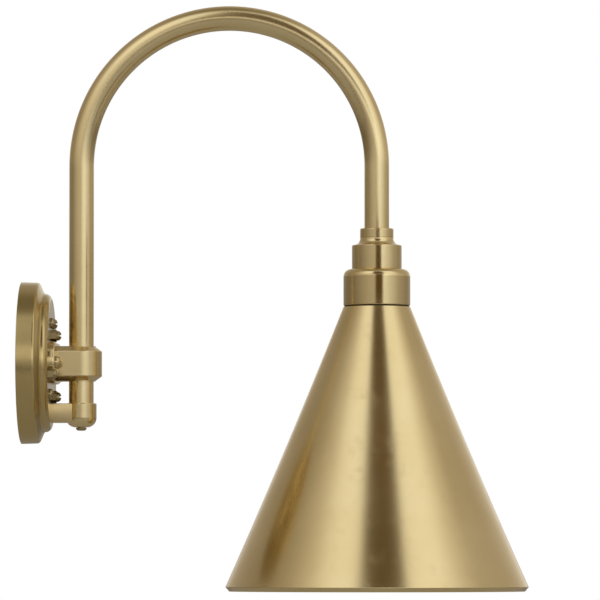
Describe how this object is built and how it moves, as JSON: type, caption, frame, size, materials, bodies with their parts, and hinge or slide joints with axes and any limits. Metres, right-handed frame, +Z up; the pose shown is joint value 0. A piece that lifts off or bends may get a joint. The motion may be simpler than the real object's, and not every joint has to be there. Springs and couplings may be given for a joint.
{
  "type": "gooseneck wall sconce",
  "caption": "Wall light with a round stepped backplate, a swivel bracket, a tube bent in a half circle, a stepped fitter and a cone shade that opens downwards.",
  "frame": {"origin": "centre of the backplate's back rim, on the wall", "axes": "+X out of the wall along the bracket, +Z up, Y sideways"},
  "size_m": [0.3977, 0.2374, 0.4599],
  "materials": {
    "satin_brass": "satin brushed",
    "dark_brass": "aged satin",
    "steel": "zinc plated",
    "bronze": "plain bearing",
    "porcelain": "glazed",
    "lead_cover": "plain",
    "green_screw": "dyed"
  },
  "bodies": {
    "wall_bracket": {"mounting_plate": "steel", "mounting_studs": "steel", "ground_screw": "green_screw", "backplate": "satin_brass", "stiffener_plate": "steel", "plate_screws": "dark_brass", "cap_nuts": "dark_brass", "upper_bracket": "satin_brass", "flange_screws": "dark_brass", "upper_bush": "bronze", "lower_bush": "bronze", "stop_pin": "steel", "wire_nipple": "steel", "nipple_nut": "steel", "supply_lead": "lead_cover", "lower_arm": "satin_brass", "lower_arm_bolt": "steel", "thrust_washer": "bronze"},
    "arm": {"gooseneck_tube": "satin_brass", "foot_plug": "steel", "pivot_screw": "dark_brass", "tube_collar": "satin_brass", "neck_cup": "satin_brass", "socket_cap": "satin_brass", "nose_bush": "steel", "fitter_nipple": "steel", "fitter_nut": "steel", "socket_body": "porcelain", "screw_shell": "bronze", "centre_contact": "bronze", "shade_ring": "satin_brass", "cone_shade": "satin_brass", "lamp_lead": "lead_cover"}
  },
  "joints": [
    {"name": "arm_swivel", "type": "hinge", "parent": "wall_bracket", "child": "arm", "pos_m": [0.047, 0, 0], "axis": [0, 0, 1], "range_deg": [-70, 70]}
  ]
}
